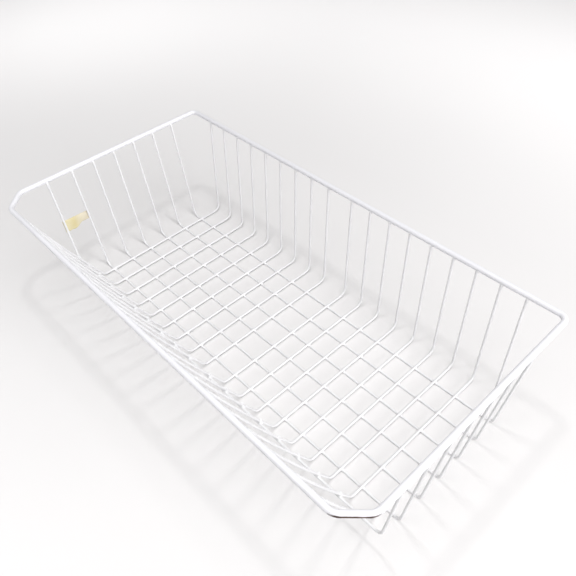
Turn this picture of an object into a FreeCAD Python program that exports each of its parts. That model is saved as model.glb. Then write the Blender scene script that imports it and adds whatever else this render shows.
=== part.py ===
"""Wire freezer basket: a bent rim ring, crosswise and lengthwise mesh wires, and one blank paper slip.

Millimetres, +Z up, origin on the resting plane below the middle of the rim. +X runs along the
basket, the leaning long wall is on the -Y side and the upright long wall on the +Y side.
"""
import FreeCAD, Part
import math
import os
import Sketcher

V = FreeCAD.Vector
UP = V(0, 0, 1)

DIMENSIONS = {
    # Wire stock, and how deep two wires sink into each other at a spot weld.
    "rim_stock": 5.6,
    "mesh_stock": 2.5,
    "weld_sink": 0.3,
    # Rim ring, to the middle of its wire. Two corners are cut off, two are plain bends.
    "rim_length": 512.6,
    "rim_depth": 260.0,
    "rim_height": 134.0,
    "cut_leg": 20.5,
    "cut_bend": 13.0,
    "corner_bend": 8.0,
    # Where the mesh wires end against the rim: this far inside its middle, and this far below it.
    "rim_inset": 1.8,
    "rim_drop": 1.2,
    # Crosswise wires: evenly spaced on each side of one wider gap in the middle.
    "cross_count": 18,
    "cross_pitch": 25.4,
    "middle_gap": 33.5,
    # Lengthwise wires: the first is up on the leaning wall, the rest are spaced over the floor.
    # As a set they sit a little towards +X.
    "long_count": 7,
    "long_pitch": 27.7,
    "long_last": 91.2,
    "ledge_height": 28.0,
    "long_shift": 1.0,
    # Flat floor, out to where each bend starts, the bends, the bow of the leaning wall, and the
    # straight stretch at the top of that bow.
    "floor_front": 57.2,
    "floor_back": 112.5,
    "floor_half": 229.4,
    "wire_bend": 8.0,
    "wall_curve": 1300.0,
    "wall_tip": 12.0,
    # Blank paper slip behind the first two lengthwise wires, on the -X end wall.
    "slip_width": 33.8,
    "slip_height": 15.0,
    "slip_sheet": 0.4,
    "slip_level": 66.0,
    "slip_overhang": 1.6,
}

# Expressions over the sheet that several sketches share.
MESH_RADIUS = "Dims.mesh_stock / 2"
RIM_RADIUS = "Dims.rim_stock / 2"
LONG_LEVEL = "Dims.mesh_stock / 2"
CROSS_LEVEL = "Dims.mesh_stock * 3 / 2 - Dims.weld_sink"
TOP_LEVEL = "Dims.rim_height - Dims.rim_drop"
SIDE_TOP = "Dims.rim_depth / 2 - Dims.rim_inset"
END_TOP = "Dims.rim_length / 2 - Dims.rim_inset"

doc = FreeCAD.newDocument("WireBasket")
sheet = doc.addObject("Spreadsheet::Sheet", "Dims")
for row, (alias, value) in enumerate(DIMENSIONS.items(), start=1):
    sheet.set("A%d" % row, alias)
    sheet.set("B%d" % row, str(value))
    sheet.setAlias("B%d" % row, alias)
doc.recompute()


def dim(alias):
    """One driving dimension, as a number."""
    return float(sheet.get(alias))


def number(expression):
    """The value of an expression over the sheet."""
    return float(sheet.evalExpression(expression))


def new_body(label):
    """A body for one wire."""
    body = doc.addObject("PartDesign::Body", label)
    body.Label = label
    return body


def new_sketch(body, name, role):
    """A sketch on one of the body's own origin planes."""
    plane = next(item for item in body.Origin.OriginFeatures if item.Role == role)
    sketch = body.newObject("Sketcher::SketchObject", name)
    sketch.AttachmentSupport = (plane, "")
    sketch.MapMode = "FlatFace"
    return sketch


def bind(sketch, kind, references, expression):
    """One dimensional constraint, tied to the sheet."""
    index = sketch.addConstraint(Sketcher.Constraint(kind, *references, number(expression)))
    sketch.setExpression("Constraints[%d]" % index, expression)


def bind_point(sketch, point, side, across, height):
    """Hold a point at expressions: across, on the -1 or +1 side, and above the sketch's origin."""
    corner = (-1, 1)
    bind(sketch, "DistanceX", corner + point if side > 0 else point + corner, across)
    bind(sketch, "DistanceY", corner + point, height)


def join(sketch, first, first_end, second, second_end):
    """Run one curve smoothly into the next."""
    sketch.addConstraint(Sketcher.Constraint("Tangent", first, first_end, second, second_end))


def circle(sketch, side, across, height, radius):
    """One circle given by expressions; side 0 puts it on the upright axis."""
    x = side * number(across) if side else 0
    index = sketch.addGeometry(Part.Circle(V(x, number(height), 0), UP, number(radius)))
    bind(sketch, "Radius", (index,), radius)
    if side:
        bind_point(sketch, (index, 3), side, across, height)
    else:
        sketch.addConstraint(Sketcher.Constraint("PointOnObject", index, 3, -2))
        bind(sketch, "DistanceY", (-1, 1, index, 3), height)


def arc(sketch, centre, radius, start, finish):
    """One counter-clockwise arc; angles in degrees."""
    shape = Part.Circle(centre, UP, radius)
    return sketch.addGeometry(Part.ArcOfCircle(shape, math.radians(start), math.radians(finish)))


def wall_shape(flat, level, top, bowed=False):
    """Lean from upright, in radians, where a wall leaves its floor bend, and the bend's centre.

    flat, level and top are expressions; a bowed wall is an arc with a straight stretch on top.
    """
    bend = dim("wire_bend")
    centre = V(number(flat), number(level) + bend, 0)
    across = number(top) - centre.x
    rise = number(TOP_LEVEL) - centre.y
    reach = math.hypot(across, rise)
    if bowed:
        slack = dim("wall_curve") - bend
        tip_reach = math.hypot(dim("wall_curve"), dim("wall_tip"))
        touch = (tip_reach ** 2 - slack ** 2 - reach ** 2) / (2 * slack)
    else:
        touch = bend
    return math.acos(touch / reach) - math.atan2(rise, across), centre


def draw_bow(sketch, side, foot, outward, tip):
    """Draw the bow of a wall from its foot up to the straight stretch that ends at the tip."""
    curve = dim("wall_curve")
    middle = foot - outward * curve
    foot_angle = math.degrees(math.atan2(foot.y - middle.y, foot.x - middle.x)) % 360
    tip_angle = math.degrees(math.atan2(tip.y - middle.y, tip.x - middle.x)) % 360
    end_angle = tip_angle - side * math.degrees(math.atan(dim("wall_tip") / curve))
    angles = (foot_angle, end_angle) if side > 0 else (end_angle, foot_angle)
    bow = arc(sketch, middle, curve, *angles)
    bind(sketch, "Radius", (bow,), "Dims.wall_curve")
    turned = math.radians(end_angle)
    return bow, middle + V(math.cos(turned), math.sin(turned), 0) * curve


def draw_wall(sketch, floor, side, flat, level, top, bowed=False):
    """Draw one bend and one wall onto the end of the floor line, on its -1 or +1 side."""
    lean, centre = wall_shape(flat, level, top, bowed)
    bend = dim("wire_bend")
    centre = V(side * centre.x, centre.y, 0)
    outward = V(side * math.cos(lean), -math.sin(lean), 0)
    foot = centre + outward * bend
    tip = V(side * number(top), number(TOP_LEVEL), 0)
    low, high = (1, 2) if side > 0 else (2, 1)
    if side > 0:
        turn = arc(sketch, centre, bend, 270, 360 - math.degrees(lean))
    else:
        turn = arc(sketch, centre, bend, 180 + math.degrees(lean), 270)
    pieces = [floor, turn]
    if bowed:
        bow, foot = draw_bow(sketch, side, foot, outward, tip)
        pieces.append(bow)
    ends = (foot, tip) if side > 0 else (tip, foot)
    wall = sketch.addGeometry(Part.LineSegment(*ends))
    pieces.append(wall)
    bind(sketch, "DistanceX", (-1, 1, floor, 2) if side > 0 else (floor, 1, -1, 1), flat)
    bind(sketch, "Radius", (turn,), "Dims.wire_bend")
    for before, after in zip(pieces, pieces[1:]):
        join(sketch, before, high, after, low)
    if bowed:
        bind(sketch, "Distance", (wall,), "Dims.wall_tip")
    bind_point(sketch, (wall, high), side, top, TOP_LEVEL)


def mesh_wire(label, role, section_role, level, walls):
    """One U-shaped wire in the plane of role, with its ends cut to seat against the rim.

    walls holds the arguments of draw_wall for the -1 and the +1 side, and where the rim runs.
    """
    body = new_body(label)
    path = new_sketch(body, label + "_path", role)
    low, high = (V(side * number(walls[side]["flat"]), number(level), 0) for side in (-1, 1))
    floor = path.addGeometry(Part.LineSegment(low, high))
    path.addConstraint(Sketcher.Constraint("Horizontal", floor))
    bind(path, "DistanceY", (-1, 1, floor, 1), level)
    section = new_sketch(body, label + "_section", section_role)
    circle(section, 0, None, level, MESH_RADIUS)
    seat = new_sketch(body, label + "_seat", role)
    for side, wall in walls.items():
        draw_wall(path, floor, side, wall["flat"], level, wall["top"], wall.get("bowed", False))
        circle(seat, side, wall["rim"], "Dims.rim_height", RIM_RADIUS)
    doc.recompute()
    pipe = body.newObject("PartDesign::AdditivePipe", label + "_pipe")
    pipe.Profile = (section, [""])
    pipe.Spine = (path, [""])
    doc.recompute()
    cope = body.newObject("PartDesign::Pocket", label + "_cope")
    cope.Profile = (seat, [""])
    cope.Midplane = True
    cope.setExpression("Length", "Dims.rim_stock * 2")
    return body


def rim_ring():
    """The thick ring: half of it swept along one path, then mirrored end for end."""
    half_length = dim("rim_length") / 2
    half_depth = dim("rim_depth") / 2
    leg = dim("cut_leg")
    cut = dim("cut_bend")
    corner = dim("corner_bend")
    setback = cut * math.tan(math.radians(22.5))
    slope = cut * (1 - math.cos(math.radians(45)))
    run = setback * math.cos(math.radians(45))

    body = new_body("rim_wire")
    path = new_sketch(body, "rim_wire_path", "XY_Plane")
    front_turn = V(half_length - leg - setback, -half_depth, 0)
    end_turn = V(half_length, leg + setback - half_depth, 0)
    back_turn = V(half_length - corner, half_depth, 0)
    front = path.addGeometry(Part.LineSegment(V(0, -half_depth, 0), front_turn))
    arc(path, front_turn + V(0, cut, 0), cut, 270, 315)
    slant_start = V(half_length - leg + run, slope - half_depth, 0)
    slant_finish = V(half_length - slope, leg - run - half_depth, 0)
    slant = path.addGeometry(Part.LineSegment(slant_start, slant_finish))
    arc(path, end_turn - V(cut, 0, 0), cut, 315, 360)
    end = path.addGeometry(Part.LineSegment(end_turn, V(half_length, half_depth - corner, 0)))
    turn = arc(path, back_turn - V(0, corner, 0), corner, 0, 90)
    back = path.addGeometry(Part.LineSegment(back_turn, V(0, half_depth, 0)))
    for first in range(front, back):
        join(path, first, 2, first + 1, 1)
    bind(path, "Radius", (front + 1,), "Dims.cut_bend")
    bind(path, "Radius", (slant + 1,), "Dims.cut_bend")
    bind(path, "Radius", (turn,), "Dims.corner_bend")
    path.addConstraint(Sketcher.Constraint("Horizontal", front))
    path.addConstraint(Sketcher.Constraint("PointOnObject", front, 1, -2))
    bind(path, "DistanceY", (front, 1, -1, 1), "Dims.rim_depth / 2")
    path.addConstraint(Sketcher.Constraint("Vertical", end))
    bind(path, "DistanceX", (-1, 1, end, 1), "Dims.rim_length / 2")
    path.addConstraint(Sketcher.Constraint("Horizontal", back))
    path.addConstraint(Sketcher.Constraint("PointOnObject", back, 2, -2))
    bind(path, "DistanceY", (-1, 1, back, 2), "Dims.rim_depth / 2")
    cut_marks = (
        (front, V(half_length - leg, -half_depth, 0)),
        (end, V(half_length, leg - half_depth, 0)),
    )
    for side, along in cut_marks:
        mark = path.addGeometry(Part.Point(along))
        path.toggleConstruction(mark)
        path.addConstraint(Sketcher.Constraint("PointOnObject", mark, 1, side))
        path.addConstraint(Sketcher.Constraint("PointOnObject", mark, 1, slant))
        if side == front:
            bind(path, "DistanceX", (-1, 1, mark, 1), "Dims.rim_length / 2 - Dims.cut_leg")
        else:
            bind(path, "DistanceY", (mark, 1, -1, 1), "Dims.rim_depth / 2 - Dims.cut_leg")

    section = new_sketch(body, "rim_wire_section", "YZ_Plane")
    index = section.addGeometry(Part.Circle(V(-half_depth, 0, 0), UP, number(RIM_RADIUS)))
    bind(section, "Radius", (index,), RIM_RADIUS)
    section.addConstraint(Sketcher.Constraint("PointOnObject", index, 3, -1))
    bind(section, "DistanceX", (index, 3, -1, 1), "Dims.rim_depth / 2")
    doc.recompute()
    pipe = body.newObject("PartDesign::AdditivePipe", "rim_wire_pipe")
    pipe.Profile = (section, [""])
    pipe.Spine = (path, [""])
    doc.recompute()
    mirrored = body.newObject("PartDesign::Mirrored", "rim_wire_mirrored")
    plane = next(item for item in body.Origin.OriginFeatures if item.Role == "YZ_Plane")
    mirrored.Originals = [pipe]
    mirrored.MirrorPlane = (plane, [""])
    body.Tip = mirrored
    body.setExpression("Placement.Base.z", "Dims.rim_height")
    return body


def cross_wires():
    """The wires that run from the leaning wall, across the floor and up the upright wall."""
    walls = {
        -1: {"flat": "Dims.floor_front", "top": SIDE_TOP, "bowed": True, "rim": "Dims.rim_depth / 2"},
        1: {"flat": "Dims.floor_back", "top": SIDE_TOP, "rim": "Dims.rim_depth / 2"},
    }
    half = int(dim("cross_count")) // 2
    wires = []
    for number_in_row in range(2 * half):
        side = "-" if number_in_row < half else ""
        steps = half - 1 - number_in_row if number_in_row < half else number_in_row - half
        label = "cross_wire_%02d" % (number_in_row + 1)
        wire = mesh_wire(label, "YZ_Plane", "XZ_Plane", CROSS_LEVEL, walls)
        across = "%s(Dims.middle_gap / 2 + %d * Dims.cross_pitch)" % (side, steps)
        wire.setExpression("Placement.Base.x", across)
        wires.append(wire)
    return wires


def ledge_across():
    """How far forward the lengthwise wire on the leaning wall sits, touching it from outside."""
    curve = dim("wall_curve")
    lean, centre = wall_shape("Dims.floor_front", CROSS_LEVEL, SIDE_TOP, True)
    outward = V(math.cos(lean), -math.sin(lean), 0)
    middle = centre - outward * (curve - dim("wire_bend"))
    outside = curve + dim("mesh_stock") - dim("weld_sink")
    return middle.x + math.sqrt(outside ** 2 - (dim("ledge_height") - middle.y) ** 2)


def long_wires():
    """The wires that run along the basket and up both end walls, below the crosswise ones."""
    lean = wall_shape("Dims.floor_half", LONG_LEVEL, END_TOP)[0]
    ledge_rise = "(Dims.ledge_height - %s)" % LONG_LEVEL
    ledge_flat = "Dims.floor_half + %s * tan(%.6f deg)" % (ledge_rise, math.degrees(lean))
    count = int(dim("long_count"))
    wires = []
    for number_in_row in range(count):
        on_ledge = number_in_row == 0
        flat = ledge_flat if on_ledge else "Dims.floor_half"
        level = "Dims.ledge_height" if on_ledge else LONG_LEVEL
        walls = {
            -1: {"flat": flat, "top": END_TOP, "rim": "Dims.rim_length / 2 + Dims.long_shift"},
            1: {"flat": flat, "top": END_TOP, "rim": "Dims.rim_length / 2 - Dims.long_shift"},
        }
        label = "long_wire_%02d" % (number_in_row + 1)
        wire = mesh_wire(label, "XZ_Plane", "YZ_Plane", level, walls)
        wire.setExpression("Placement.Base.x", "Dims.long_shift")
        if on_ledge:
            wire.Placement.Base.y = -ledge_across()
        else:
            steps = count - 1 - number_in_row
            wire.setExpression("Placement.Base.y", "Dims.long_last - %d * Dims.long_pitch" % steps)
        wires.append(wire)
    return wires


def paper_slip():
    """A flat blank slip that lies against the outside of two wires of the -X end wall."""
    slip = doc.addObject("Part::Box", "paper_slip")
    slip.Label = "paper_slip"
    slip.setExpression("Length", "Dims.slip_sheet")
    slip.setExpression("Width", "Dims.slip_width")
    slip.setExpression("Height", "Dims.slip_height")
    lean = wall_shape("Dims.floor_half", LONG_LEVEL, END_TOP)[0]
    inward = V(math.cos(lean), 0, math.sin(lean))
    drop = number(TOP_LEVEL) - dim("slip_level")
    across = drop * math.tan(lean) - number(END_TOP) + dim("long_shift")
    on_wire = V(across, -ledge_across() - dim("slip_overhang"), dim("slip_level"))
    base = on_wire - inward * (number(MESH_RADIUS) + dim("slip_sheet"))
    slip.Placement = FreeCAD.Placement(base, FreeCAD.Rotation(V(0, 1, 0), -math.degrees(lean)))
    return slip


parts = [rim_ring()] + cross_wires() + long_wires() + [paper_slip()]
doc.recompute()

for item in doc.Objects:
    if "Invalid" in item.State or "Error" in item.State:
        raise RuntimeError("%s failed: %s" % (item.Label, item.State))
for item in parts:
    if item.Shape.isNull() or not item.Shape.isValid():
        raise RuntimeError("%s has no valid shape" % item.Label)

os.makedirs("parts", exist_ok=True)
for item in parts:
    item.Shape.exportStep("parts/%s.step" % item.Label)
    print("%-14s %9.1f mm3" % (item.Label, item.Shape.Volume))
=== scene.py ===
"""Looks of the wire freezer basket: dip-coated wires, fused crossings, a coated rim, a paper slip.

Metres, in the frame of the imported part: +Z up, +X along the basket, the leaning long wall on the
-Y side. Each wire is swept again with a finer section and an uneven coating, and the coating that
bridges every crossing and every joint with the rim is meshed from a smooth blend of two rods.
"""
import math

import bpy
import numpy as np
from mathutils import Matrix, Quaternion, Vector


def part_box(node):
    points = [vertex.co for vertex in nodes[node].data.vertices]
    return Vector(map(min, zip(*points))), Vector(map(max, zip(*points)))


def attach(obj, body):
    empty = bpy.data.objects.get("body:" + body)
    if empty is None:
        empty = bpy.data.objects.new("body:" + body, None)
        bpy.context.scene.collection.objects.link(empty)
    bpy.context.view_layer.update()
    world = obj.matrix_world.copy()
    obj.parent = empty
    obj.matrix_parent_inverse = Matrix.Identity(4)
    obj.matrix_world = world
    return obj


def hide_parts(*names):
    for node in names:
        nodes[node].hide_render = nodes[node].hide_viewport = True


# Sizes that the wires' boxes don't give: bends, flats and the bow of the leaning wall.
WIRE_BEND = 0.008
FLOOR_FRONT = 0.0572
FLOOR_BACK = 0.1125
FLOOR_HALF = 0.2294
BOW_RADIUS = 1.3
BOW_TIP = 0.012
RIM_CUT_LEG = 0.0205
RIM_CUT_BEND = 0.013
RIM_CORNER_BEND = 0.008
# Where a mesh wire's middle ends against the rim: inside the rim's middle, and below it.
RIM_INSET = 0.0018
RIM_DROP = 0.0012

# How finely the pieces are meshed.
WIRE_SIDES = 20
RIM_SIDES = 40
STRAIGHT_STEP = 0.003
BEND_STEP = 0.0009
BLEND_CELL = 0.00043
SURFACE_STEPS = 4
SLOPE_STEP = 1e-6

# The coating on a wire: how much it swells and shrinks, how much more of it hangs below, the lengths
# of its swells, and the rings over which they fade where a closed loop meets itself.
WIRE_SWELL = 0.000028
WIRE_SAG = 0.00003
RIM_SWELL = 0.00005
RIM_SAG = 0.00008
SWELL_LENGTHS = (0.011, 0.023, 0.047, 0.0065)
SAG_SHARE = 0.35
SEAM_RINGS = 12

# The coating that bridges two crossed wires, and a wire and the rim: how far it reaches along each,
# how wide it rounds the corner between them, and how much thicker it is in its middle and thinner
# at its ends than the wire in it.
CROSSING_REACH = 0.0046
CROSSING_WIDTH = 0.0019
JOINT_RIM_REACH = 0.0058
JOINT_WIRE_REACH = 0.0078
JOINT_WIDTH = 0.0009
WIRE_BLEND = {"swell": 0.00006, "taper": 0.00012}
RIM_BLEND = {"swell": -0.00014, "taper": 0.00022}
# How far past its rods a blend's box reaches, and the box of a blend at the rim, downward and inward.
BLEND_MARGIN = 0.0006
BLEND_HEAD = 0.0008
JOINT_HEAD = 0.001
JOINT_INWARD = 0.0075
JOINT_DOWN = 0.0105

# The slip: how finely it is meshed, its sheet, and where along it its lower edge steps up.
SLIP_CELLS = (56, 22)
SLIP_SHEET = 0.00025
SLIP_STEP_PLACE = 0.54
SLIP_STEP_SHARPNESS = 26

# The table: how far it reaches each way, and how far it lies under the lowest wires.
TABLE_REACH = 4.0
TABLE_DROP = 0.0001

# The middle span of a noise texture's values.
NOISE_SPAN = (0.3, 0.7)

# The camera, in metres, millimetres and degrees.
CAMERA_PLACE = (0.3626, -0.26347, 0.52111)
CAMERA_TARGET = (-0.00148, 0.04886, 0.05)
CAMERA_LENS = 38.73
CAMERA_SENSOR = 36.0
CAMERA_ROLL = -3.80

RNG = np.random.default_rng(7)

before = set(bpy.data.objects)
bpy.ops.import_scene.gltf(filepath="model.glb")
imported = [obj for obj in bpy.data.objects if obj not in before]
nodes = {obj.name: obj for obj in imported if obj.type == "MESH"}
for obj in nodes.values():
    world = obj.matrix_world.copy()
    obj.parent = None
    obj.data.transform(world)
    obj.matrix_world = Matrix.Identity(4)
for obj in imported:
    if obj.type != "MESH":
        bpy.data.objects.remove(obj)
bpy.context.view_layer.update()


# ---------------------------------------------------------------- routes

def spaced(start, finish, step):
    """Evenly spaced numbers from start up to, but not with, finish."""
    count = max(1, int(round(abs(finish - start) / step)))
    return np.linspace(start, finish, count, endpoint=False)


def line_points(start, finish):
    """Points on a straight run, without its last one."""
    start, finish = np.array(start, float), np.array(finish, float)
    shares = spaced(0, np.linalg.norm(finish - start), STRAIGHT_STEP) / np.linalg.norm(finish - start)
    return start + shares[:, None] * (finish - start)


def arc_points(centre, radius, start, finish, step=BEND_STEP):
    """Points on an arc in a plane, angles in radians, without its last one."""
    angles = start + spaced(0, radius * (finish - start), step) / radius
    return np.array(centre) + radius * np.stack([np.cos(angles), np.sin(angles)], 1)


def wall_run(flat, level, top, bowed):
    """One floor bend and wall in its own plane, from the end of the flat floor up to the rim."""
    centre = np.array([flat, level + WIRE_BEND])
    across, rise = np.array(top) - centre
    reach = math.hypot(across, rise)
    touch = WIRE_BEND
    if bowed:
        slack = BOW_RADIUS - WIRE_BEND
        touch = (BOW_RADIUS ** 2 + BOW_TIP ** 2 - slack ** 2 - reach ** 2) / (2 * slack)
    lean = math.acos(touch / reach) - math.atan2(rise, across)
    outward = np.array([math.cos(lean), -math.sin(lean)])
    foot = centre + outward * WIRE_BEND
    runs = [arc_points(centre, WIRE_BEND, -math.pi / 2, -lean)]
    if bowed:
        middle = foot - outward * BOW_RADIUS
        tip_angle = math.atan2(top[1] - middle[1], top[0] - middle[0])
        end = tip_angle - math.atan(BOW_TIP / BOW_RADIUS)
        runs.append(arc_points(middle, BOW_RADIUS, -lean, end, STRAIGHT_STEP))
        foot = middle + BOW_RADIUS * np.array([math.cos(end), math.sin(end)])
    runs.append(line_points(foot, top))
    runs.append(np.array([top]))
    return np.concatenate(runs)


def u_route(flats, level, tops, bowed=(False, False)):
    """The whole U of a wire in its own plane, from the -1 side's rim to the +1 side's."""
    low, high = (wall_run(flats[i], level, tops[i], bowed[i]) for i in (0, 1))
    low = (low * (-1, 1))[::-1]
    floor = line_points(low[-1], (flats[1], level))[1:]
    return np.concatenate([low, floor, high])


def ring_route(corners, radii):
    """A closed loop of straight runs with a bend at each corner, in the XY plane."""
    runs = []
    count = len(corners)
    ends = []
    for i, (corner, radius) in enumerate(zip(corners, radii)):
        before = np.array(corners[i - 1]) - corner
        after = np.array(corners[(i + 1) % count]) - corner
        before /= np.linalg.norm(before)
        after /= np.linalg.norm(after)
        half = math.acos(np.clip(before @ after, -1, 1)) / 2
        setback = radius / math.tan(half)
        middle = corner + (before + after) / np.linalg.norm(before + after) * radius / math.sin(half)
        start, finish = corner + before * setback, corner + after * setback
        first = math.atan2(*(start - middle)[::-1])
        turn = math.atan2(*(finish - middle)[::-1]) - first
        turn = (turn + math.pi) % (2 * math.pi) - math.pi
        ends.append((start, finish, middle, radius, first, turn))
    for i, (start, finish, middle, radius, first, turn) in enumerate(ends):
        runs.append(arc_points(middle, radius, first, first + turn))
        runs.append(line_points(finish, ends[(i + 1) % count][0]))
    return np.concatenate(runs)


# ---------------------------------------------------------------- meshes

def uneven(length_along, around, amount, waves):
    """A coating's slow swell along and around a wire, from a few seeded waves.

    Each wave comes with a shorter one, half as high, that turns the other way round the wire.
    """
    swell = np.zeros(np.broadcast(length_along, around).shape)
    for length in waves:
        phase = RNG.uniform(0, 2 * math.pi, 2)
        turns = RNG.integers(0, 3)
        swell += np.sin(length_along * 2 * math.pi / length + turns * around + phase[0])
        swell += 0.5 * np.cos(length_along * 2 * math.pi / (length * 0.61) - around + phase[1])
    return amount * swell / len(waves)


def sweep(route, plane_normal, radius, sides, closed, amount, sag):
    """Vertices and faces of a coated wire along a flat route, thicker below by sag."""
    step = np.roll(route, -1, 0) - np.roll(route, 1, 0)
    if not closed:
        step[0], step[-1] = route[1] - route[0], route[-1] - route[-2]
    tangent = step / np.linalg.norm(step, axis=1)[:, None]
    out = np.cross(plane_normal, tangent)
    along = np.concatenate([[0], np.cumsum(np.linalg.norm(np.diff(route, axis=0), axis=1))])
    around = np.arange(sides) * 2 * math.pi / sides
    direction = (np.cos(around)[None, :, None] * out[:, None, :]
                 + np.sin(around)[None, :, None] * np.array(plane_normal)[None, None, :])
    swell = uneven(along[:, None], around[None, :], amount, SWELL_LENGTHS)
    if closed:
        swell[-SEAM_RINGS:] *= np.linspace(1, 0, SEAM_RINGS)[:, None]
        swell[:SEAM_RINGS] *= np.linspace(0, 1, SEAM_RINGS)[:, None]
    below = np.clip(-direction[..., 2], 0, 1) ** 2
    local = radius + swell + sag * (below - SAG_SHARE)
    vertices = (route[:, None, :] + direction * local[..., None]).reshape(-1, 3)
    rings = len(route)
    faces = []
    for ring in range(rings if closed else rings - 1):
        near, far = ring * sides, (ring + 1) % rings * sides
        for side in range(sides):
            other = (side + 1) % sides
            faces.append((near + side, near + other, far + other, far + side))
    if not closed:
        faces.append(tuple(range(sides))[::-1])
        faces.append(tuple(range((rings - 1) * sides, rings * sides)))
    return vertices, faces


def smooth_min(a, b, width):
    """The lesser of two distances, rounded where they are within width of each other."""
    near = np.clip(width - np.abs(a - b), 0, None) / width
    return np.minimum(a, b) - near ** 2 * width / 4


def rod(points, origin, axis, radius, low, high, swell, taper):
    """Distance to a short rod from low to high along its axis.

    It is thicker than its wire by swell in the middle, and thinner by taper at its ends.
    """
    offset = points - np.array(origin)
    axis = np.array(axis) / np.linalg.norm(axis)
    along = offset @ axis
    from_axis = np.linalg.norm(offset - along[..., None] * axis, axis=-1)
    share = np.clip(np.abs(along) / max(abs(low), abs(high)), 0, 1)
    local = radius + swell - (swell + taper) * share ** 3
    return np.maximum(from_axis - local, np.maximum(low - along, along - high))


def surface(distance, low, high, cell):
    """Vertices and faces of the zero surface of a distance function inside a box."""
    axes = [np.arange(low[i], high[i] + cell, cell) for i in range(3)]
    grid = np.stack(np.meshgrid(*axes, indexing="ij"), -1)
    field = distance(grid)
    inside = field < 0
    cells = tuple(size - 1 for size in field.shape)
    corner = [(i, j, k) for i in (0, 1) for j in (0, 1) for k in (0, 1)]

    def at(array, offset):
        return array[tuple(slice(o, o + c) for o, c in zip(offset, cells))]

    total = np.zeros(cells + (3,))
    count = np.zeros(cells)
    for first in corner:
        for axis in range(3):
            if first[axis]:
                continue
            second = tuple(1 if i == axis else first[i] for i in range(3))
            a, b = at(field, first), at(field, second)
            crossed = at(inside, first) != at(inside, second)
            share = np.where(crossed, a / np.where(crossed, a - b, 1), 0)
            point = at(grid, first) + share[..., None] * (at(grid, second) - at(grid, first))
            total += point * crossed[..., None]
            count += crossed
    used = count > 0
    index = -np.ones(cells, int)
    index[used] = np.arange(used.sum())
    vertices = total[used] / count[used][:, None]
    for _ in range(SURFACE_STEPS):
        value = distance(vertices)
        slope = np.stack([(distance(vertices + shift) - distance(vertices - shift)) / (2 * SLOPE_STEP)
                          for shift in np.eye(3) * SLOPE_STEP], -1)
        vertices = vertices - (value / np.maximum((slope ** 2).sum(-1), 0.3))[:, None] * slope

    faces = []
    for axis in range(3):
        u, v = (axis + 1) % 3, (axis + 2) % 3
        ahead = np.take(inside, range(1, field.shape[axis]), axis)
        behind = np.take(inside, range(field.shape[axis] - 1), axis)
        for spot in np.argwhere(ahead != behind):
            if spot[u] < 1 or spot[v] < 1 or spot[u] >= cells[u] or spot[v] >= cells[v]:
                continue
            quad = []
            for du, dv in ((-1, -1), (0, -1), (0, 0), (-1, 0)):
                place = list(spot)
                place[u] += du
                place[v] += dv
                quad.append(index[tuple(place)])
            faces.append(tuple(quad) if behind[tuple(spot)] else tuple(quad[::-1]))
    return vertices, faces


def placed(blend, origin, x_axis, y_axis, z_axis):
    """A blend moved from its own axes to where it belongs."""
    vertices, faces = blend
    return vertices @ np.array([x_axis, y_axis, z_axis], float) + np.array(origin, float), faces


def make_piece(name, shells, material, stands_for):
    """One object from closed shells, riding on the basket and standing for its CAD node."""
    vertices, faces, offset = [], [], 0
    for shell_vertices, shell_faces in shells:
        vertices.append(shell_vertices)
        faces += [tuple(i + offset for i in face) for face in shell_faces]
        offset += len(shell_vertices)
    mesh = bpy.data.meshes.new(name)
    mesh.from_pydata(np.concatenate(vertices).tolist(), [], faces)
    mesh.validate()
    mesh.polygons.foreach_set("use_smooth", [True] * len(mesh.polygons))
    mesh.materials.append(material)
    mesh.update()
    piece = bpy.data.objects.new(name, mesh)
    bpy.context.scene.collection.objects.link(piece)
    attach(piece, "root")
    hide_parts(stands_for)
    return piece


# ---------------------------------------------------------------- materials

def new_material(name):
    """A material with an empty node tree but for its shader and output."""
    material = bpy.data.materials.new(name)
    material.use_nodes = True
    tree = material.node_tree
    shader = next(node for node in tree.nodes if node.type == "BSDF_PRINCIPLED")
    return material, tree, shader


def add_noise(tree, coordinates, scale, detail, rough=0.5):
    """One noise texture over the object's own coordinates."""
    texture = tree.nodes.new("ShaderNodeTexNoise")
    texture.inputs["Scale"].default_value = scale
    texture.inputs["Detail"].default_value = detail
    texture.inputs["Roughness"].default_value = rough
    tree.links.new(coordinates.outputs["Object"], texture.inputs["Vector"])
    return texture


def add_ramp(tree, source, stops):
    """A colour ramp over a texture's value. stops are (place, colour) pairs."""
    ramp = tree.nodes.new("ShaderNodeValToRGB")
    while len(ramp.color_ramp.elements) < len(stops):
        ramp.color_ramp.elements.new(0.5)
    for element, (place, colour) in zip(ramp.color_ramp.elements, stops):
        element.position = place
        element.color = (*colour, 1)
    tree.links.new(source, ramp.inputs["Fac"])
    return ramp


def add_mix(tree, blend, factor, first, second):
    """Two colours mixed. The factor is a number or another node's socket."""
    mix = tree.nodes.new("ShaderNodeMix")
    mix.data_type = "RGBA"
    mix.blend_type = blend
    if isinstance(factor, (int, float)):
        mix.inputs["Factor"].default_value = factor
    else:
        tree.links.new(factor, mix.inputs["Factor"])
    tree.links.new(first, mix.inputs["A"])
    tree.links.new(second, mix.inputs["B"])
    return mix.outputs["Result"]


def add_range(tree, source, low, high):
    """A texture's value spread from low to high."""
    spread = tree.nodes.new("ShaderNodeMapRange")
    spread.inputs["From Min"].default_value = NOISE_SPAN[0]
    spread.inputs["From Max"].default_value = NOISE_SPAN[1]
    spread.inputs["To Min"].default_value = low
    spread.inputs["To Max"].default_value = high
    tree.links.new(source, spread.inputs["Value"])
    return spread


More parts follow.
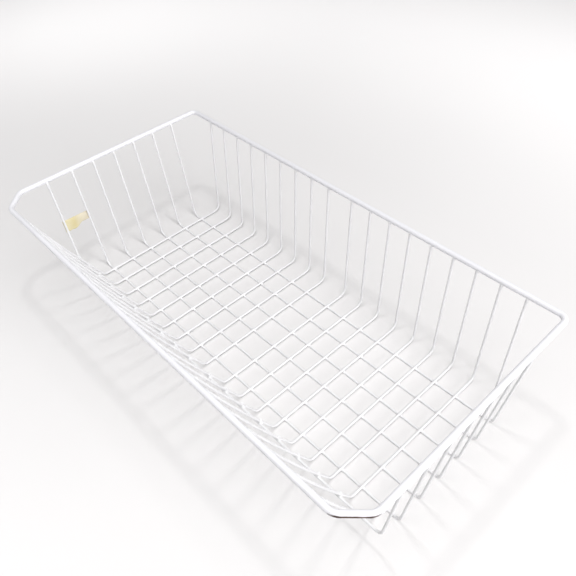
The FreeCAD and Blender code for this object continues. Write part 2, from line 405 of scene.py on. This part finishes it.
def add_bump(tree, shader, layers):
    """Stack bumps from (source, strength, distance) layers onto a shader's normal."""
    previous = None
    for source, strength, distance in layers:
        bump = tree.nodes.new("ShaderNodeBump")
        bump.inputs["Strength"].default_value = strength
        bump.inputs["Distance"].default_value = distance
        tree.links.new(source, bump.inputs["Height"])
        if previous:
            tree.links.new(previous.outputs["Normal"], bump.inputs["Normal"])
        previous = bump
    tree.links.new(previous.outputs["Normal"], shader.inputs["Normal"])


def add_math(tree, operation, first, second):
    """Two values combined. The second is a number or another node's socket."""
    node = tree.nodes.new("ShaderNodeMath")
    node.operation = operation
    tree.links.new(first, node.inputs[0])
    if isinstance(second, (int, float)):
        node.inputs[1].default_value = second
    else:
        tree.links.new(second, node.inputs[1])
    return node.outputs[0]


def add_fade(tree, source, full, none):
    """1 where a value is at full, falling smoothly to 0 at none."""
    fade = tree.nodes.new("ShaderNodeMapRange")
    fade.interpolation_type = "SMOOTHSTEP"
    fade.inputs["From Min"].default_value = none
    fade.inputs["From Max"].default_value = full
    tree.links.new(source, fade.inputs["Value"])
    return fade.outputs["Result"]


def add_painted_shade(tree, coordinates, colour, place, length, level, radius):
    """Painted shade: a dark brown line on the outer lower side of the rim's cut corner at +X, where its
    underside faces dark surroundings, made matte as well.

    place and level are the middle of the cut, length its length and radius the rim's. Returns the
    new colour and the mask of the painted shade.
    """
    offset = tree.nodes.new("ShaderNodeVectorMath")
    offset.operation = "DISTANCE"
    tree.links.new(coordinates.outputs["Object"], offset.inputs[0])
    offset.inputs[1].default_value = (*place, level)
    near = add_fade(tree, offset.outputs["Value"], length * 0.42, length * 0.74)
    split = tree.nodes.new("ShaderNodeSeparateXYZ")
    tree.links.new(coordinates.outputs["Object"], split.inputs["Vector"])
    ragged = add_noise(tree, coordinates, 240, 3)
    edge = add_math(tree, "MULTIPLY", ragged.outputs["Fac"], radius * 0.35)
    height = add_math(tree, "ADD", split.outputs["Z"], edge)
    below = add_fade(tree, height, level + radius * 0.50, level + radius * 0.68)
    outward = add_math(tree, "SUBTRACT", split.outputs["X"], split.outputs["Y"])
    middle = place[0] - place[1]
    outer = add_fade(tree, outward, middle + radius * 0.3, middle - radius * 0.4)
    shade_mask = add_math(tree, "MULTIPLY", add_math(tree, "MULTIPLY", near, below), outer)
    # The painted shade's dark brown colour, made ragged by noise.
    painted_shade = add_ramp(tree, ragged.outputs["Fac"], (
        (0.35, (0.055, 0.03, 0.022)), (0.7, (0.13, 0.075, 0.055))))
    return add_mix(tree, "MIX", shade_mask, colour, painted_shade.outputs["Color"]), shade_mask


def coating(name, clean, dull, gloss, painted_shade=None):
    """Baked white coating: cloudy whiteness, fine specks, orange peel and an uneven gloss.

    clean and dull are its two tones, gloss its least and greatest roughness, and painted_shade the last
    four arguments of add_painted_shade, which paints a shade line on the rim's cut corner.
    """
    material, tree, shader = new_material(name)
    coordinates = tree.nodes.new("ShaderNodeTexCoord")
    cloud = add_noise(tree, coordinates, 26, 3)
    speck = add_noise(tree, coordinates, 900, 2, 0.6)
    peel = add_noise(tree, coordinates, 520, 2)
    wave = add_noise(tree, coordinates, 130, 1)

    tone = add_ramp(tree, cloud.outputs["Fac"], ((0.3, dull), (0.62, clean)))
    dirt = add_ramp(tree, speck.outputs["Fac"], (
        (0.0, (0.7, 0.68, 0.65)), (0.25, (0.86, 0.85, 0.83)), (0.32, (1, 1, 1))))
    colour = add_mix(tree, "MULTIPLY", 1, tone.outputs["Color"], dirt.outputs["Color"])
    roughness = add_range(tree, cloud.outputs["Fac"], gloss[0], gloss[1]).outputs["Result"]
    # Painted shade on the rim's cut corner: a darker colour and a rougher finish there.
    if painted_shade:
        colour, shade_mask = add_painted_shade(tree, coordinates, colour, *painted_shade)
        roughness = add_math(tree, "ADD", roughness, add_math(tree, "MULTIPLY", shade_mask, 0.45))
    tree.links.new(colour, shader.inputs["Base Color"])
    tree.links.new(roughness, shader.inputs["Roughness"])
    shader.inputs["IOR"].default_value = 1.5
    add_bump(tree, shader, (
        (wave.outputs["Fac"], 0.5, 0.00012), (peel.outputs["Fac"], 0.35, 0.00004)))
    return material


def paper(name):
    """Old yellowed paper: fibres, stains, and a deeper tone on the half behind the first wire."""
    material, tree, shader = new_material(name)
    coordinates = tree.nodes.new("ShaderNodeTexCoord")
    fibre = add_noise(tree, coordinates, 700, 5, 0.7)
    stain = add_noise(tree, coordinates, 90, 3)
    split = tree.nodes.new("ShaderNodeSeparateXYZ")
    tree.links.new(coordinates.outputs["Object"], split.inputs["Vector"])
    low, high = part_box("paper_slip")
    along = tree.nodes.new("ShaderNodeMapRange")
    along.inputs["From Min"].default_value = low.y
    along.inputs["From Max"].default_value = high.y
    along.interpolation_type = "SMOOTHSTEP"
    tree.links.new(split.outputs["Y"], along.inputs["Value"])
    tone = add_ramp(tree, along.outputs["Result"], (
        (0.0, (0.715, 0.655, 0.45)), (0.35, (0.705, 0.625, 0.365)),
        (0.6, (0.705, 0.645, 0.48)), (1.0, (0.705, 0.65, 0.53))))
    spots = add_ramp(tree, stain.outputs["Fac"], ((0.3, (0.93, 0.91, 0.86)), (0.6, (1, 1, 1))))
    colour = add_mix(tree, "MULTIPLY", 0.8, tone.outputs["Color"], spots.outputs["Color"])
    tree.links.new(colour, shader.inputs["Base Color"])
    roughness = add_range(tree, fibre.outputs["Fac"], 0.75, 0.92)
    tree.links.new(roughness.outputs["Result"], shader.inputs["Roughness"])
    shader.inputs["Specular IOR Level"].default_value = 0.25
    add_bump(tree, shader, (
        (stain.outputs["Fac"], 0.5, 0.0003), (fibre.outputs["Fac"], 0.6, 0.00006)))
    return material


def tabletop(name):
    """A plain pale floor with a faint sheen and a faintly uneven tone."""
    material, tree, shader = new_material(name)
    coordinates = tree.nodes.new("ShaderNodeTexCoord")
    cloud = add_noise(tree, coordinates, 2.2, 2)
    tone = add_ramp(tree, cloud.outputs["Fac"], (
        (0.3, (0.775, 0.765, 0.765)), (0.7, (0.79, 0.78, 0.78))))
    tree.links.new(tone.outputs["Color"], shader.inputs["Base Color"])
    shader.inputs["Roughness"].default_value = 0.75
    shader.inputs["Specular IOR Level"].default_value = 0.2
    return material


WIRE_COATING = coating("wire_coating", (0.82, 0.82, 0.832), (0.79, 0.79, 0.807), (0.38, 0.54))
SLIP_PAPER = paper("slip_paper")

# ---------------------------------------------------------------- the rim

rim_low, rim_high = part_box("rim_wire")
rim_radius = (rim_high.z - rim_low.z) / 2
rim_z = (rim_high.z + rim_low.z) / 2
half_length = rim_high.x - rim_radius
half_depth = rim_high.y - rim_radius
cut_middle = (half_length - RIM_CUT_LEG / 2, RIM_CUT_LEG / 2 - half_depth)
cut_length = RIM_CUT_LEG * math.sqrt(2)
# The rim's coating carries a painted shade line under the outer side of its cut corner at +X.
RIM_COATING = coating("rim_coating", (0.83, 0.83, 0.862), (0.805, 0.805, 0.84), (0.40, 0.55),
                      (cut_middle, cut_length, rim_z, rim_radius))
rim_corners = [
    (half_length, half_depth),
    (-half_length, half_depth),
    (-half_length, RIM_CUT_LEG - half_depth),
    (RIM_CUT_LEG - half_length, -half_depth),
    (half_length - RIM_CUT_LEG, -half_depth),
    (half_length, RIM_CUT_LEG - half_depth),
]
rim_bends = [RIM_CORNER_BEND] * 2 + [RIM_CUT_BEND] * 4
rim_flat = ring_route(rim_corners, rim_bends)
rim_route = np.column_stack([rim_flat, np.full(len(rim_flat), rim_z)])
rim_shell = sweep(rim_route, (0, 0, 1), rim_radius, RIM_SIDES, True, RIM_SWELL, RIM_SAG)
make_piece("rim_coated", [rim_shell], RIM_COATING, "rim_wire")

# ---------------------------------------------------------------- the blends

wire_low, wire_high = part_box("cross_wire_01")
wire_radius = (wire_high.x - wire_low.x) / 2
cross_level = wire_low.z + wire_radius
long_level = wire_radius
apart = cross_level - long_level


def crossing_blend():
    """Coating that bridges two crossed wires: the lower one along X, the upper one along Y."""
    ends = (-CROSSING_REACH, CROSSING_REACH)

    def distance(points):
        lower = rod(points, (0, 0, -apart / 2), (1, 0, 0), wire_radius, *ends, **WIRE_BLEND)
        upper = rod(points, (0, 0, apart / 2), (0, 1, 0), wire_radius, *ends, **WIRE_BLEND)
        return smooth_min(lower, upper, CROSSING_WIDTH)

    reach = CROSSING_REACH + BLEND_MARGIN
    height = apart / 2 + wire_radius + BLEND_HEAD
    return surface(distance, (-reach, -reach, -height), (reach, reach, height), BLEND_CELL)


def rim_blend(lean):
    """Coating that bridges the rim, along X, and a wire that comes up to it leaning outward along Y."""
    start = (0, -RIM_INSET, -RIM_DROP)
    down = (0, -math.sin(lean), -math.cos(lean))

    ends = (-JOINT_RIM_REACH, JOINT_RIM_REACH)

    def distance(points):
        rim = rod(points, (0, 0, 0), (1, 0, 0), rim_radius, *ends, **RIM_BLEND)
        wire = rod(points, start, down, wire_radius, 0.0, JOINT_WIRE_REACH, **WIRE_BLEND)
        return smooth_min(rim, wire, JOINT_WIDTH)

    reach = JOINT_RIM_REACH + BLEND_MARGIN
    head = rim_radius + JOINT_HEAD
    return surface(distance, (-reach, -JOINT_INWARD, -JOINT_DOWN), (reach, head, head), BLEND_CELL)


crossing = crossing_blend()

# ---------------------------------------------------------------- the mesh wires

side_top = half_depth - RIM_INSET
end_top = half_length - RIM_INSET
top_z = rim_z - RIM_DROP
long_names = sorted(name for name in nodes if name.startswith("long_wire"))
cross_names = sorted(name for name in nodes if name.startswith("cross_wire"))

cross_flats = (FLOOR_FRONT, FLOOR_BACK)
cross_route = u_route(cross_flats, cross_level, ((side_top, top_z),) * 2, (True, False))


def lean_at(route, index):
    """How far from upright a route is at its start (0) or its end (-1)."""
    step = route[1] - route[0] if index == 0 else route[-1] - route[-2]
    return math.atan2(abs(step[0]), abs(step[1]))


def middle_of(name):
    """The middle of a node's box."""
    low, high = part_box(name)
    return (low + high) / 2


ledge_low, ledge_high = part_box("long_wire_01")
ledge_y = (ledge_low.y + ledge_high.y) / 2
ledge_z = ledge_low.z + wire_radius
on_wall = cross_route[cross_route[:, 0] < -FLOOR_FRONT]
wall_gap = np.hypot(on_wall[:, 0] - ledge_y, on_wall[:, 1] - ledge_z)
nearest = int(np.argmin(wall_gap))
inward = np.array([0, on_wall[nearest, 0] - ledge_y, on_wall[nearest, 1] - ledge_z])
inward /= np.linalg.norm(inward)
up_wall = np.cross(inward, (1, 0, 0))
floor_rows = [middle_of(name).y for name in long_names[1:]]

# A long wire on the floor, which gives the lean of both end walls.
floor_route = u_route((FLOOR_HALF,) * 2, long_level, ((end_top, top_z),) * 2)
end_lean = lean_at(floor_route, -1)

front_blend = rim_blend(lean_at(cross_route, 0))
back_blend = rim_blend(lean_at(cross_route, -1))

for name in cross_names:
    x = middle_of(name).x
    route = np.column_stack([np.full(len(cross_route), x), cross_route])
    shells = [sweep(route, (1, 0, 0), wire_radius, WIRE_SIDES, False, WIRE_SWELL, WIRE_SAG)]
    for y in floor_rows:
        spot = (x, y, (long_level + cross_level) / 2)
        shells.append(placed(crossing, spot, (1, 0, 0), (0, 1, 0), (0, 0, 1)))
    ledge_spot = np.array([x, ledge_y, ledge_z]) + inward * apart / 2
    shells.append(placed(crossing, ledge_spot, (1, 0, 0), up_wall, inward))
    shells.append(placed(front_blend, (x, -half_depth, rim_z), (-1, 0, 0), (0, -1, 0), (0, 0, 1)))
    shells.append(placed(back_blend, (x, half_depth, rim_z), (1, 0, 0), (0, 1, 0), (0, 0, 1)))
    make_piece(name + "_coated", shells, WIRE_COATING, name)

for name in long_names:
    low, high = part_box(name)
    on_ledge = name == long_names[0]
    level = ledge_z if on_ledge else long_level
    shift = middle_of(name).x
    flat = FLOOR_HALF
    if on_ledge:
        flat += (level - long_level) * math.tan(end_lean)
    flat_route = u_route((flat,) * 2, level, ((end_top, top_z),) * 2)
    y = middle_of(name).y
    across = np.full(len(flat_route), y)
    route = np.column_stack([flat_route[:, 0] + shift, across, flat_route[:, 1]])
    shells = [sweep(route, (0, -1, 0), wire_radius, WIRE_SIDES, False, WIRE_SWELL, WIRE_SAG)]
    end_blend = rim_blend(lean_at(flat_route, -1))
    shells.append(placed(end_blend, (half_length, y, rim_z), (0, -1, 0), (1, 0, 0), (0, 0, 1)))
    shells.append(placed(end_blend, (-half_length, y, rim_z), (0, 1, 0), (-1, 0, 0), (0, 0, 1)))
    make_piece(name + "_coated", shells, WIRE_COATING, name)

# ---------------------------------------------------------------- the paper slip

slip_low, slip_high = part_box("paper_slip")
slip_up = np.array([-math.sin(end_lean), 0, math.cos(end_lean)])
slip_out = np.array([-math.cos(end_lean), 0, -math.sin(end_lean)])
slip_width = slip_high.y - slip_low.y
slip_height = (slip_high.z - slip_low.z) / math.cos(end_lean)
slip_foot = np.array([slip_high.x, slip_low.y, slip_low.z])


def slip_point(u, v, behind):
    """One point of the worn slip: u along it, v up it, and behind it from its inner face."""
    # Both edges are ragged, and the lower one steps up where a piece is torn off.
    step = 1 / (1 + math.exp(-(u - SLIP_STEP_PLACE) * SLIP_STEP_SHARPNESS))
    bottom = 0.02 + 0.24 * step + 0.025 * math.sin(u * 9 + 1) + 0.012 * math.sin(u * 31)
    top = 0.97 - 0.05 * u * u + 0.02 * math.sin(u * 7) + 0.01 * math.sin(u * 43 + 2)
    height = slip_height * (bottom + (top - bottom) * v)
    # The sheet bulges away from the wires, and its top curls over outward.
    bulge = 0.0007 * math.sin(math.pi * u) + 0.0005 * math.sin(u * 8 + v * 2) * v
    curl = 0.0009 * max(0.0, v - 0.6) ** 2 * (1 + u) * 4
    along = np.array([0, slip_width * u, 0])
    return slip_foot + slip_up * height + slip_out * (bulge + curl + behind) + along


def slip_shell():
    """Vertices and faces of the slip: two faces and the edge that joins them."""
    columns, rows = SLIP_CELLS
    points = [slip_point(column / columns, row / rows, behind)
              for behind in (0, SLIP_SHEET) for row in range(rows + 1) for column in range(columns + 1)]
    row_size = columns + 1
    face_size = row_size * (rows + 1)
    faces = []
    for row in range(rows):
        for column in range(columns):
            a = row * row_size + column
            quad = (a, a + 1, a + row_size + 1, a + row_size)
            faces.append(quad)
            faces.append(tuple(i + face_size for i in quad[::-1]))
    edge = list(range(row_size))
    edge += [row * row_size + columns for row in range(1, rows + 1)]
    edge += [rows * row_size + column for column in range(columns - 1, -1, -1)]
    edge += [row * row_size for row in range(rows - 1, 0, -1)]
    for a, b in zip(edge, edge[1:] + edge[:1]):
        faces.append((b, a, a + face_size, b + face_size))
    return np.array(points), faces


make_piece("paper_slip_worn", [slip_shell()], SLIP_PAPER, "paper_slip")

# ---------------------------------------------------------------- floor, light and camera

floor_mesh = bpy.data.meshes.new("floor")
floor_corners = [(TABLE_REACH * i, TABLE_REACH * j, 0) for i, j in ((-1, -1), (1, -1), (1, 1), (-1, 1))]
floor_mesh.from_pydata(floor_corners, [], [(0, 1, 2, 3)])
floor_mesh.materials.append(tabletop("floor_pale"))
floor = bpy.data.objects.new("floor", floor_mesh)
bpy.context.scene.collection.objects.link(floor)
floor.location.z = -TABLE_DROP


def aimed(item, place, target, roll=0.0):
    """Put a lamp or camera at a place, looking at a target, rolled by radians about its view."""
    item.location = place
    turn = (Vector(target) - Vector(place)).to_track_quat("-Z", "Y")
    item.rotation_mode = "QUATERNION"
    item.rotation_quaternion = turn @ Quaternion((0, 0, 1), roll)


def soft_light(name, place, target, size, power, colour=(1.0, 1.0, 1.0)):
    """A square soft box: its size in metres, its power in watts."""
    lamp = bpy.data.lights.new(name, "AREA")
    lamp.shape = "SQUARE"
    lamp.size = size
    lamp.energy = power
    lamp.color = colour
    holder = bpy.data.objects.new(name, lamp)
    bpy.context.scene.collection.objects.link(holder)
    aimed(holder, place, target)


soft_light("key_light", (0.62, -0.15, 1.25), (0.15, 0, 0), 1.0, 14.8, (1.0, 0.995, 0.99))
soft_light("ceiling_lamp", (0.01, 0.035, 1.25), (0.01, 0.035, 0), 0.12, 2.6, (1.0, 0.99, 0.98))
soft_light("fill_light", (1.45, 0.3, 0.42), (0.05, -0.08, 0.05), 0.6, 9.0)
# These face away from the basket, and even out the floor around it.
soft_light("left_floor_light", (-1.02, 0.28, 0.75), (-1.5, 0.46, 0), 0.6, 5.3)
soft_light("back_floor_light", (-0.50, 0.78, 0.7), (-0.65, 1.25, 0), 0.6, 2.3)
soft_light("right_floor_light", (0.1, 0.82, 0.7), (0.2, 1.4, 0), 0.6, 3.2)
soft_light("front_floor_light", (-0.3, -0.7, 0.7), (-0.4, -1.1, 0), 0.6, 4.9)

world = bpy.data.worlds.new("studio")
world.use_nodes = True
background = world.node_tree.nodes["Background"]
background.inputs["Color"].default_value = (0.98, 0.975, 0.99, 1)
background.inputs["Strength"].default_value = 0.205
bpy.context.scene.world = world

camera_data = bpy.data.cameras.new("camera")
camera_data.lens = CAMERA_LENS
camera_data.sensor_width = CAMERA_SENSOR
camera_data.clip_start = 0.01
camera = bpy.data.objects.new("camera", camera_data)
bpy.context.scene.collection.objects.link(camera)
aimed(camera, CAMERA_PLACE, CAMERA_TARGET, math.radians(CAMERA_ROLL))
bpy.context.scene.camera = camera
bpy.context.scene.view_settings.view_transform = "Standard"
